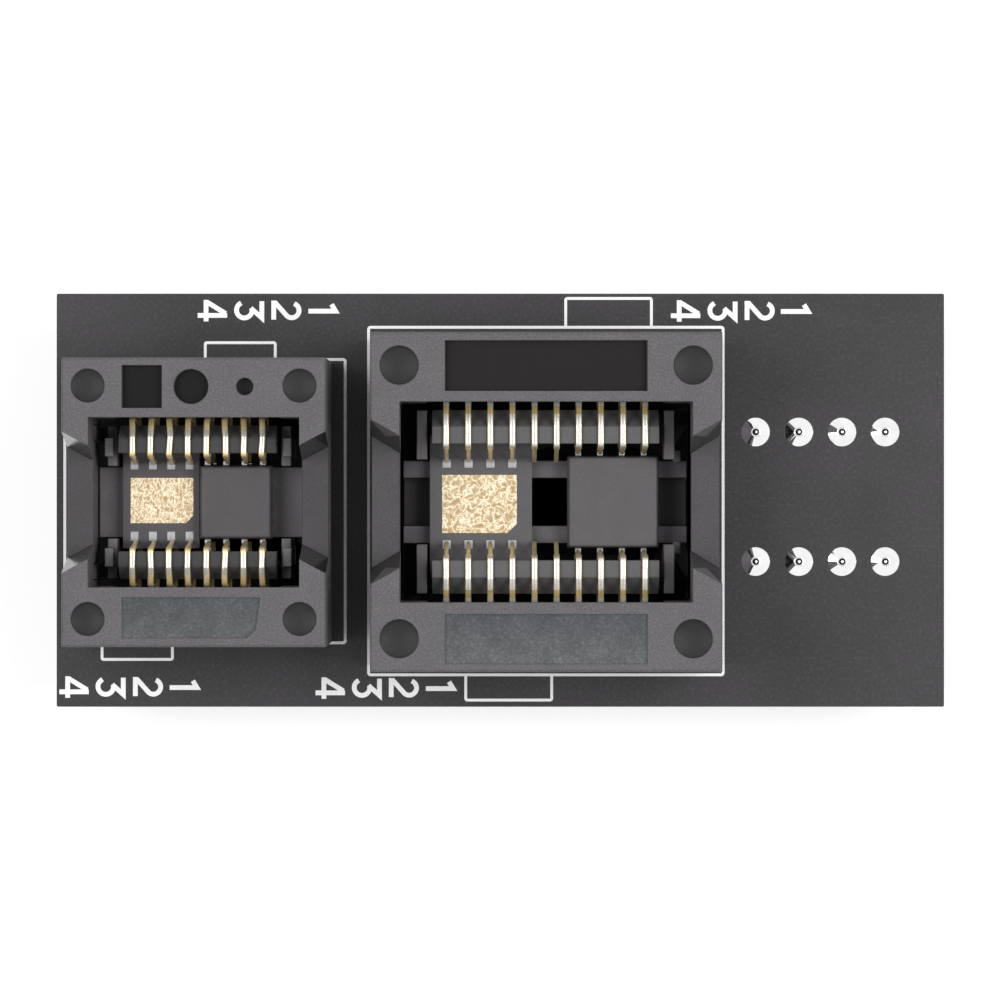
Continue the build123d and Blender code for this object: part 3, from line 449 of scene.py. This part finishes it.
def arc(centre, radius, start, end, steps):
    """Points along an arc, from one angle in degrees to another."""
    points = []
    for k in range(steps + 1):
        a = math.radians(start + (end - start) * k / steps)
        points.append((centre[0] + radius * math.cos(a), centre[1] + radius * math.sin(a)))
    return points


# The white print on the board

LINE = 0.165
PRINT_H = 0.018
LAYER_STEP = 0.001
OUTLINE_R = 0.12
BRACKET_R = 0.1


def rounded_loop(x0, x1, y0, y1, r):
    corners = arc((x1 - r, y1 - r), r, 0, 90, 5) + arc((x0 + r, y1 - r), r, 90, 180, 5)
    corners += arc((x0 + r, y0 + r), r, 180, 270, 5) + arc((x1 - r, y0 + r), r, 270, 360, 5)
    return corners + [corners[0]]


def rounded_bracket(x0, x1, start_y, end_y, r):
    """Three sides of a box that opens at start_y."""
    side = 1 if end_y > start_y else -1
    turn = arc((x0 + r, end_y - side * r), r, 180, 180 - side * 90, 4)
    back = arc((x1 - r, end_y - side * r), r, side * 90, 0, 4)
    return [(x0, start_y)] + turn + back + [(x1, start_y)]


# The sockets' outlines along the middle of the line: lowest and highest X, lowest and highest Y
OUTLINES = [(-7.75, 13.103, -10.271, 10.171), (-25.62, -9.127, -8.388, 8.277)]
# The brackets, outside the line: lowest and highest X, Y of the open side, Y of the closed side
BRACKETS = [
    (-17.44, -13.156, 8.36, 9.347),
    (-23.51, -19.21, -8.47, -9.447),
    (3.762, 8.968, 10.25, 11.95),
    (-2.12, 3.103, -10.35, -11.84),
]
half = LINE / 2
lines = bmesh.new()
for outline in OUTLINES:
    flat_strip(lines, rounded_loop(*outline, OUTLINE_R), LINE, PRINT_H)
for x0, x1, start_y, end_y in BRACKETS:
    bracket = rounded_bracket(x0 + half, x1 - half, start_y, end_y - math.copysign(half, end_y), BRACKET_R)
    flat_strip(lines, bracket, LINE, PRINT_H + LAYER_STEP)
finish_piece("print_lines", lines, "adapter", [INK])

# Each digit is drawn upright as (across, up) strokes and turned a quarter to the right on the board.
DIGIT_STROKES = {
    "1": [[(0.66, 0.0), (0.66, 1.6), (0.26, 1.36)]],
    "2": [
        arc((0.62, 1.2), 0.43, 160, -38, 14) + [(0.13, 0.2)],
        [(0.04, 0.14), (1.16, 0.14)],
    ],
    "3": [
        [(0.08, 1.63), (1.06, 1.63), (0.48, 0.98)],
        arc((0.6, 0.6), 0.46, 104, -156, 16),
    ],
    "4": [
        [(0.91, 0.0), (0.91, 1.73)],
        [(0.0, 0.49), (1.26, 0.49)],
        [(0.13, 0.55), (0.8, 1.64)],
    ],
}
# The middle of each row along Y, and where each of its digits starts along X
DIGIT_ROWS = [
    (11.15, (-17.80, -15.66, -13.47, -11.29)),
    (-10.99, (-25.94, -23.81, -21.61, -19.45)),
    (-11.05, (-10.87, -8.74, -6.56, -4.38)),
    (11.13, (10.03, 12.18, 14.37, 16.50)),
]
STROKE = 0.28
DIGIT_HALF_W = 0.63
digits = bmesh.new()
for middle_y, starts in DIGIT_ROWS:
    for digit, start_x in zip("4321", starts):
        for layer, stroke in enumerate(DIGIT_STROKES[digit]):
            placed = [(start_x + up, middle_y + DIGIT_HALF_W - across) for across, up in stroke]
            flat_strip(digits, placed, STROKE, PRINT_H + LAYER_STEP * layer)
finish_piece("print_digits", digits, "adapter", [INK])


# The board, the header and its solder joints

def cut_edge(middle, normal):
    """The sides of the board and of its holes."""
    return abs(normal.z) < 0.3


copy_of("circuit_board", [(cut_edge, LAMINATE)], join_flats=False)
for side in ("rear", "front"):
    soften(f"header_{side}_insulator", 0.08)

HEADER_X = 18.82
HEADER_Y = 0.2
PIN_PITCH = 2.54
ROW_FROM_MIDDLE = 3.81
PINS_PER_ROW = 4
# Radius and height of a pin, from its tip under the board up to the chamfered end of its tail
PIN_PROFILE = [
    (0.1, 0.0), (0.19, 0.05), (0.24, 0.16), (0.25, 0.3), (0.25, 3.17), (0.29, 3.2), (0.375, 3.22),
    (0.375, 5.95), (0.2, 6.0), (0.2, 7.84), (0.195, 7.865), (0.09, 7.998), (0.075, 8.01), (0.02, 8.018),
]
CHAMFER_LOW, CHAMFER_HIGH = 7.85, 8.0
# Radius and height of a solder cone: a foot, a straight side and a collar that dips to the pin
CONE_PROFILE = [
    (0.845, 0.0), (0.838, 0.012), (0.815, 0.023), (0.8, 0.03), (0.295, 0.2553), (0.28, 0.262),
    (0.26, 0.264), (0.245, 0.24), (0.24, 0.08),
]
PIN_SIDES = 32
CONE_SIDES = 72
for side, y in (("rear", HEADER_Y + ROW_FROM_MIDDLE), ("front", HEADER_Y - ROW_FROM_MIDDLE)):
    pins = bmesh.new()
    cones = bmesh.new()
    for i in range(PINS_PER_ROW):
        x = HEADER_X + (i - (PINS_PER_ROW - 1) / 2) * PIN_PITCH
        revolve(pins, PIN_PROFILE, x * MM, y * MM, 0.0, PIN_SIDES)
        revolve(cones, CONE_PROFILE, x * MM, y * MM, BOARD_TOP, CONE_SIDES)
    # The chamfer round each pin's end takes the dark ring material: painted shade.
    for face in pins.faces:
        if CHAMFER_LOW * MM < face.calc_center_median().z < CHAMFER_HIGH * MM:
            face.material_index = 1
    smooth(finish_piece(f"header_{side}_turned_pins", pins, "adapter", [PIN, PIN_RING_SHADE],
                        [f"header_{side}_pins"]), 40)
    smooth(finish_piece(f"header_{side}_joints", cones, "adapter", [SOLDER],
                        [f"header_{side}_solder"]), 50)


# The contact rows

LEVEL = 0.9


def height(middle):
    """Millimetres above the board."""
    return (middle.z - BOARD_TOP) / MM


def level(middle, normal):
    return normal.z > LEVEL


def rib_top(middle, normal):
    return level(middle, normal) and height(middle) > RIB_Z


def everywhere(middle, normal):
    return True


# Heights of the base, and depths of the frame below its top
RIB_Z = 3.5
BASE_LOW_Z = 2.1
BASE_FLOOR_MAX_Z = 0.7
WELL_HALF_Y = 1.5
NOTCH_FLOOR_DEPTH = 3.9
NOTCH_WALL_DEPTH = 1.0
DIMPLE_DEPTHS = (0.38, 0.56)
LABEL_DEPTH = 0.5
TEXTURE_DEPTH = 0.15
DEPTH_MARGIN = 0.02

# A contact's path: pivot, elbow, level run over the comb, nose and tip
CONTACT_T = 0.2
CONTACT_EDGE = 0.045
NOSE_W = 0.25
PIVOT_Z = 1.2
ELBOW_LOW_Z = 4.6
ELBOW_Z = 6.87
RUN_LOW_Z = 6.5
RUN_Z = 7.12
PAD_TIP_Z = 4.0
LEAD_TIP_Z = 4.23
LEVER_BEND_SHARE = 0.6
LEVER_BEND_Z = 2.03
LEVER_END_Z = 3.0
HEEL_R = 0.25
HEEL_SIDES = 18
LEAD_CONTACTS = 4
# The eight faces round a contact's strip are numbered; these are on top of its level run
TOP_FACE = 3
TOP_FACES = (2, 3, 4)

# highlight_run: where the run's top is pale, a painted highlight, and highlight_from: where it is pale from
# there outwards, also painted highlight.
# shade_finish: index of the metal between them, the darker gold as painted shade in the large socket. wave:
# how far the contacts stray sideways.
SOCKETS = {
    "large": dict(
        x=2.6, y=-0.1, travel=2.0, spring_in=(2.0, 2.3), contacts=10, pitch=1.27, width=0.34,
        elbow=5.9, ridge=4.33, inner=3.35, pivot=4.8, lever_end=8.55, pads_tip=2.35, leads_tip=2.84,
        highlight_run=(3.2, 5.03), highlight_from=5.5, wave=0.0, shade_finish=2,
        notch=FRAME_NOTCH_SHADE, steep=FRAME_STEEP_MATT_SHADE, label=FRAME_LABEL_SHADE, textured=FRAME_TEXTURED,
        thermal=THERMAL, comb_shade=[], base_light_and_shade=[(rib_top, BASE_RIB_SHADE)], chip_shade=[],
    ),
    "small": dict(
        x=-17.4, y=-0.12, travel=1.7, spring_in=(1.8, 2.0), contacts=8, pitch=1.065, width=0.33,
        elbow=4.775, ridge=3.675, inner=2.825, pivot=3.925, lever_end=7.115, pads_tip=2.25, leads_tip=2.3,
        highlight_run=(2.95, 4.15), highlight_from=9.0, wave=0.07, shade_finish=0,
        notch=FRAME_NOTCH_DEEP_SHADE, steep=FRAME_STEEP_SHADE, label=FRAME_LABEL_DEEP_SHADE, textured=FRAME_TEXTURED_DEEPER_SHADE,
        thermal=THERMAL_FINE, comb_shade=[(level, COMB_SHADE)], base_light_and_shade=[(everywhere, BASE_PAINTED_LIGHT)],
        chip_shade=[(everywhere, CHIP_SHADE)],
    ),
}


def frame_patches(name, s):
    """The frame's notches, dimples and recesses, told by their depth below its top, each in a darker plastic
    that paints shade.
    """
    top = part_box(f"{name}_frame")[1].z

    def depth(middle):
        return (top - middle.z) / MM

    low, high = DIMPLE_DEPTHS
    return [
        (lambda c, n: level(c, n) and depth(c) > NOTCH_FLOOR_DEPTH, s["notch"]),
        (lambda c, n: 0.1 < n.z < 0.5 and depth(c) > NOTCH_WALL_DEPTH, s["steep"]),
        (lambda c, n: level(c, n) and low < depth(c) < high, FRAME_DIMPLE_SHADE),
        (lambda c, n: n.z > 0.999 and abs(depth(c) - LABEL_DEPTH) < DEPTH_MARGIN, s["label"]),
        (lambda c, n: level(c, n) and abs(depth(c) - TEXTURE_DEPTH) < DEPTH_MARGIN, s["textured"]),
    ]


def base_patches(s):
    """The base's lower levels, its floor, and the well in the floor's middle, in darker and darker copies
    that paint shade, after the socket's own light and shade.
    """

    def on_floor(middle, normal):
        return level(middle, normal) and height(middle) < BASE_FLOOR_MAX_Z

    return s["base_light_and_shade"] + [
        (lambda c, n: level(c, n) and height(c) < BASE_LOW_Z, BASE_LOW_SHADE),
        (on_floor, BASE_FLOOR_SHADE),
        (lambda c, n: on_floor(c, n) and abs(c.y - s["y"] * MM) < WELL_HALF_Y * MM, BASE_DEEP_SHADE),
    ]


ARC_STEPS = 5


def rounded_path(points, radii):
    """A polyline in (Y, Z) with its corners turned into arcs."""
    path = [Vector(points[0])]
    for a, b, c, r in zip(points, points[1:], points[2:], radii):
        a, b, c = Vector(a), Vector(b), Vector(c)
        before, after = (b - a).normalized(), (c - b).normalized()
        turn = before.angle(after)
        reach = r * math.tan(turn / 2)
        start, end = b - before * reach, b + after * reach
        for k in range(ARC_STEPS + 1):
            t = k / ARC_STEPS
            path.append(start.lerp(b, t).lerp(b.lerp(end, t), t))
    path.append(Vector(points[-1]))
    return path


def with_marks(path, marks):
    """The same path with a point added where its level run crosses each mark along Y."""
    result = [path[0]]
    for a, b in zip(path, path[1:]):
        on_run = min(a.y, b.y) > RUN_LOW_Z
        crossed = [m for m in marks if on_run and min(a.x, b.x) < m < max(a.x, b.x)]
        for mark in sorted(crossed, reverse=a.x > b.x):
            result.append(a.lerp(b, (mark - a.x) / (b.x - a.x)))
        result.append(b)
    return result


def ribbon(bm, path, half_width, thickness, place, side, finish):
    """
    A strip of sheet metal with rounded edges along a path in (Y, Z). half_width gives its half width at a
    point, and finish the material index of a face from its middle and its number round the strip.
    """
    rings = []
    last = len(path) - 1
    for k, point in enumerate(path):
        tangent = (path[min(k + 1, last)] - path[max(k - 1, 0)]).normalized()
        across = Vector((-tangent.y, tangent.x))
        w, t, e = half_width(point), thickness / 2, CONTACT_EDGE
        outline = ((w - e, t), (w, t - e), (w, e - t), (w - e, -t),
                   (e - w, -t), (-w, e - t), (-w, t - e), (e - w, t))
        narrowed, thinned = (0.75, 0.5) if k in (0, last) else (1.0, 1.0)
        ring = []
        for u, v in outline:
            p = point + across * v * thinned
            ring.append(bm.verts.new(place(u * narrowed, p.x * side, p.y)))
        rings.append(ring)
    for low, high, a, b in zip(rings, rings[1:], path, path[1:]):
        for k in range(8):
            face = bm.faces.new((low[k], low[(k + 1) % 8], high[(k + 1) % 8], high[k]))
            face.material_index = finish(a.lerp(b, 0.5), k)
    bm.faces.new(rings[0])
    bm.faces.new(rings[-1])


def contact_row(name, s, side):
    """A row of stamped contacts: rear where side is 1, and front where it is -1."""
    bm = bmesh.new()
    label = "rear" if side > 0 else "front"
    for i in range(s["contacts"]):
        x = (i - (s["contacts"] - 1) / 2) * s["pitch"]
        over_leads = i >= s["contacts"] - LEAD_CONTACTS
        tip = (s["leads_tip"], LEAD_TIP_Z) if over_leads else (s["pads_tip"], PAD_TIP_Z)
        pivot = (s["pivot"], PIVOT_Z)
        shoulder = s["inner"] - 0.3

        def place(u, y, z, x=x, i=i):
            sway = s["wave"] * noise.noise(Vector((i * 3.7, y * 0.9, side * 5.0))) if z > 4.5 else 0.0
            return ((s["x"] + x + u + sway) * MM, (s["y"] + y) * MM, BOARD_TOP + z * MM)

        def half_width(p):
            if p.y < 2.5:
                return s["width"] / 2
            t = min(1.0, max(0.0, (p.x - shoulder + 0.02) / 0.07))
            return (NOSE_W + (s["width"] - NOSE_W) * t) / 2

        def finish(p, k):
            """Gold at the ends and edges, a pale metal along the top as painted highlight, and a darker gold
            by the large window's edge as painted shade.
            """
            low, high = s["highlight_run"]
            if p.y < RUN_LOW_Z or k not in TOP_FACES:
                return 0
            if p.x > s["highlight_from"] or (k == TOP_FACE and low < p.x < high):
                return 1
            return s["shade_finish"] if p.x > high else 0

        corners = [pivot, (s["elbow"], ELBOW_LOW_Z), (s["elbow"], ELBOW_Z), (s["ridge"] + 0.06, RUN_Z),
                   (s["inner"] - 0.12, RUN_Z), tip]
        path = rounded_path(corners, (0.5, 0.3, 0.35, 0.2))
        start, end = path[-2], path[-1]
        slope = (end - start) / (end.x - start.x)
        rings_at = [shoulder + d for d in (0.05, 0.0, -0.02, -0.06)]
        extra = [start + slope * (y - start.x) for y in rings_at if y < start.x]
        curl = [end - (end - start).normalized() * 0.12, end + Vector((-0.01, 0.0))]
        path = with_marks(path[:-1] + extra + curl, (*s["highlight_run"], s["highlight_from"]))
        ribbon(bm, path, half_width, CONTACT_T, place, side, finish)
        reach = s["lever_end"] - s["pivot"]
        lever = [pivot, (s["pivot"] + LEVER_BEND_SHARE * reach, LEVER_BEND_Z), (s["lever_end"], LEVER_END_Z)]
        ribbon(bm, rounded_path(lever, (0.8,)), lambda p: s["width"] / 2, CONTACT_T, place, side,
               lambda p, k: 0)
        heel = []
        for u in (-s["width"] / 2 + 0.01, s["width"] / 2 - 0.01):
            ring = []
            for k in range(HEEL_SIDES):
                a = 2 * math.pi * k / HEEL_SIDES
                y, z = pivot[0] + HEEL_R * math.cos(a), pivot[1] + HEEL_R * math.sin(a)
                ring.append(bm.verts.new(place(u, side * y, z)))
            heel.append(ring)
        low, high = heel
        for k in range(HEEL_SIDES):
            after = (k + 1) % HEEL_SIDES
            bm.faces.new((low[k], low[after], high[after], high[k]))
        bm.faces.new(low)
        bm.faces.new(high)
    piece = finish_piece(f"{name}_{label}_stamped_contacts", bm, f"{name}_{label}_row",
                         [GOLD, GOLD_HIGHLIGHT, GOLD_SHADE], [f"{name}_{label}_contacts"])
    smooth(piece, 55)
    keep_faces_flat(piece)


# The return springs: close-wound end turns and open ones between

BASE_FLOOR_Z = 0.6
BORE_TOP_Z = 6.2
COIL_END_GAP = 0.02
COIL_R = 0.575
WIRE_R = 0.125
WIRE_SIDES = 8
COIL_TURNS = 6.5
COIL_STEPS = 18
END_TURNS = 0.8


def coil_spring(bm, x, y):
    """A wire wound from the base's floor to the top of its bore, about an axis at x and y in metres."""
    z0, z1 = BASE_FLOOR_Z + WIRE_R + COIL_END_GAP, BORE_TOP_Z - WIRE_R - COIL_END_GAP
    end_rise = 2 * WIRE_R * END_TURNS
    rings = []
    for k in range(round(COIL_TURNS * COIL_STEPS) + 1):
        t = k / COIL_STEPS
        if t < END_TURNS:
            z = z0 + 2 * WIRE_R * t
        elif t > COIL_TURNS - END_TURNS:
            z = z1 - 2 * WIRE_R * (COIL_TURNS - t)
        else:
            open_share = (t - END_TURNS) / (COIL_TURNS - 2 * END_TURNS)
            z = z0 + end_rise + (z1 - z0 - 2 * end_rise) * open_share
        a = 2 * math.pi * t
        ring = []
        for j in range(WIRE_SIDES):
            b = 2 * math.pi * j / WIRE_SIDES
            r = COIL_R + WIRE_R * math.cos(b)
            ring.append(bm.verts.new((x + r * math.cos(a) * MM, y + r * math.sin(a) * MM,
                                      BOARD_TOP + (z + WIRE_R * math.sin(b)) * MM)))
        rings.append(ring)
    for low, high in zip(rings, rings[1:]):
        for j in range(WIRE_SIDES):
            after = (j + 1) % WIRE_SIDES
            bm.faces.new((low[j], low[after], high[after], high[j]))
    bm.faces.new(rings[0])
    bm.faces.new(rings[-1])


def return_springs(name, s):
    """A spring near each corner of the frame."""
    low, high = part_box(f"{name}_frame")
    in_x, in_y = s["spring_in"]
    half_x, half_y = (high.x - low.x) / 2 - in_x * MM, (high.y - low.y) / 2 - in_y * MM
    coils = bmesh.new()
    for side_x in (-1, 1):
        for side_y in (-1, 1):
            coil_spring(coils, s["x"] * MM + side_x * half_x, s["y"] * MM + side_y * half_y)
    piece = finish_piece(f"{name}_coil_springs", coils, "adapter", [SPRING],
                         [f"{name}_springs"])
    smooth(piece, 60)
    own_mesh(piece)


# Radius and height of the solder round a contact's tail, downwards from the board's underside
TAIL_PROFILE = [
    (0.56, 0.0), (0.54, -0.03), (0.44, -0.1), (0.35, -0.22), (0.29, -0.4), (0.26, -0.56), (0.2, -0.6),
]
TAIL_SIDES = 20
TAIL_LUMPS = 0.06
TAIL_STAGGER = 1.5
for name, s in SOCKETS.items():
    for side in (1, -1):
        contact_row(name, s, side)
        label = "rear" if side > 0 else "front"
        joints = bmesh.new()
        for i in range(s["contacts"]):
            x = s["x"] + (i - (s["contacts"] - 1) / 2) * s["pitch"]
            y = s["y"] + side * (s["pivot"] if i % 2 else s["pivot"] - TAIL_STAGGER)
            revolve(joints, TAIL_PROFILE, x * MM, y * MM, BOARD_BOTTOM, TAIL_SIDES, TAIL_LUMPS, i + 20 * side)
        smooth(finish_piece(f"{name}_{label}_tail_joints", joints, "adapter", [SOLDER],
                            [f"{name}_{label}_tail_solder"]), 60)
        soften(f"{name}_{label}_comb", 0.06, s["comb_shade"])
        # The feet all in the darker gold: painted shade.
        soften(f"{name}_{label}_feet", 0.03, [(everywhere, GOLD_SHADE)])
    soften(f"{name}_frame", 0.05, frame_patches(name, s))
    return_springs(name, s)
    soften(f"{name}_base", 0.05, base_patches(s))
    soften(f"{name}_leadless_chip", 0.025, s["chip_shade"])
    soften(f"{name}_leadless_pads", 0.02, [(everywhere, TIN_DULL)])
    soften(f"{name}_leadless_thermal_pad", 0.03, [(everywhere, s["thermal"])])
    soften(f"{name}_leaded_chip", 0.06, s["chip_shade"])
    soften(f"{name}_leaded_leads", 0.03)


# Studio: a pale floor, a white world and a soft lamp high at each side

FLOOR_HALF_SIDE = 3.0
FLOOR_Z = -1e-5
FLOOR_GREY = 0.5
FLOOR_GLOW = 0.62
WORLD_LIGHT = 0.41
WORLD_SEEN = 1.0
LAMP_SIDE = 0.16
CAMERA_PLACE = (0.0000088, -0.0000176, 0.2976)
CAMERA_LENS = 177.3
CAMERA_SENSOR = 36


def studio_floor():
    """A pale floor just under the pin tips. It glows only as seen or reflected, so it stays white."""
    mesh = bpy.data.meshes.new("floor")
    signs = ((-1, -1), (1, -1), (1, 1), (-1, 1))
    corners = [(x * FLOOR_HALF_SIDE, y * FLOOR_HALF_SIDE, FLOOR_Z) for x, y in signs]
    mesh.from_pydata(corners, [], [(0, 1, 2, 3)])
    floor = bpy.data.objects.new("floor", mesh)
    scene.collection.objects.link(floor)
    material = bpy.data.materials.new("floor_white")
    material.use_nodes = True
    nodes, links = material.node_tree.nodes, material.node_tree.links
    nodes.clear()
    diffuse = nodes.new("ShaderNodeBsdfDiffuse")
    diffuse.inputs["Color"].default_value = (FLOOR_GREY, FLOOR_GREY, FLOOR_GREY, 1)
    glow = nodes.new("ShaderNodeEmission")
    strength = nodes.new("ShaderNodeMath")
    strength.operation = "MULTIPLY"
    strength.inputs[1].default_value = FLOOR_GLOW
    links.new(seen_or_reflected(nodes, links), strength.inputs[0])
    links.new(strength.outputs[0], glow.inputs["Strength"])
    both = nodes.new("ShaderNodeAddShader")
    links.new(diffuse.outputs[0], both.inputs[0])
    links.new(glow.outputs[0], both.inputs[1])
    out = nodes.new("ShaderNodeOutputMaterial")
    links.new(both.outputs[0], out.inputs["Surface"])
    mesh.materials.append(material)


def seen_or_reflected(nodes, links):
    """1 for a ray from the camera, a reflection or through glass, and 0 for one that lights a surface."""
    path = nodes.new("ShaderNodeLightPath")
    seen = path.outputs["Is Camera Ray"]
    for other in ("Is Glossy Ray", "Is Transmission Ray"):
        either = nodes.new("ShaderNodeMath")
        either.operation = "MAXIMUM"
        links.new(seen, either.inputs[0])
        links.new(path.outputs[other], either.inputs[1])
        seen = either.outputs[0]
    return seen


def studio_world():
    """A white world that gives less light than it shows."""
    world = bpy.data.worlds.new("studio")
    scene.world = world
    world.use_nodes = True
    nodes, links = world.node_tree.nodes, world.node_tree.links
    back = nodes["Background"]
    back.inputs["Color"].default_value = (1, 1, 1, 1)
    strength = nodes.new("ShaderNodeMapRange")
    strength.inputs["To Min"].default_value = WORLD_LIGHT
    strength.inputs["To Max"].default_value = WORLD_SEEN
    links.new(seen_or_reflected(nodes, links), strength.inputs["Value"])
    links.new(strength.outputs["Result"], back.inputs["Strength"])


def lamp(name, location, target, watts):
    data = bpy.data.lights.new(name, "AREA")
    data.shape = "SQUARE"
    data.size = LAMP_SIDE
    data.energy = watts
    light = bpy.data.objects.new(name, data)
    light.location = location
    light.rotation_mode = "QUATERNION"
    light.rotation_quaternion = (Vector(target) - Vector(location)).to_track_quat("-Z", "Y")
    scene.collection.objects.link(light)


studio_floor()
studio_world()
lamp("right", (0.16, 0.02, 0.25), (0, 0, 0.01), 0.49)
lamp("left", (-0.16, 0.02, 0.25), (0, 0, 0.01), 0.41)

# Straight above the board, as far off as the photograph's perspective fits
camera = bpy.data.objects.new("camera", bpy.data.cameras.new("camera"))
camera.location = CAMERA_PLACE
camera.data.sensor_width = CAMERA_SENSOR
camera.data.lens = CAMERA_LENS
camera.data.clip_start = 0.001
camera.data.clip_end = 20
scene.collection.objects.link(camera)
scene.camera = camera
scene.view_settings.view_transform = "Standard"
